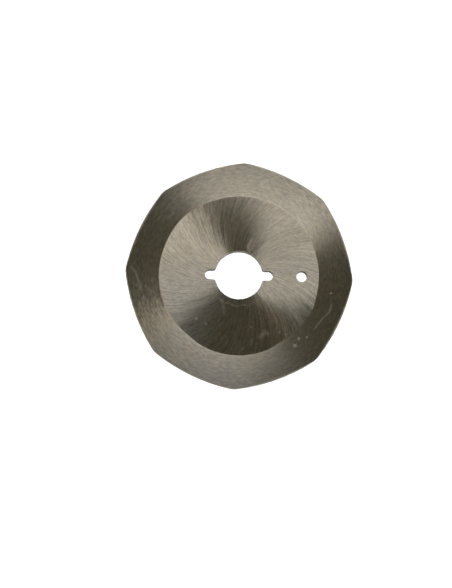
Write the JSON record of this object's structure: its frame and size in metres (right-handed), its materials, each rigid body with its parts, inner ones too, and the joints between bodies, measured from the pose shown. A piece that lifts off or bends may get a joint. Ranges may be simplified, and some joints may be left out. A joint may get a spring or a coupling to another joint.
{
  "type": "circular knife",
  "caption": "Flat round cutting blade with a lobed knife edge, a wide ground bevel, a bore with two keyways and a small pin hole.",
  "frame": {"origin": "middle of the bore on the flat back face", "axes": "+Z along the bore's axis, out of the ground front face; +X along the two keyways, towards the pin hole"},
  "size_m": [0.09, 0.09, 0.0012],
  "materials": {
    "ground_steel": "surface ground: near-radial grinding lines on the flat front, fine lines along the rim on the bevel"
  },
  "bodies": {
    "root": {"blade": "ground_steel"}
  },
  "joints": []
}
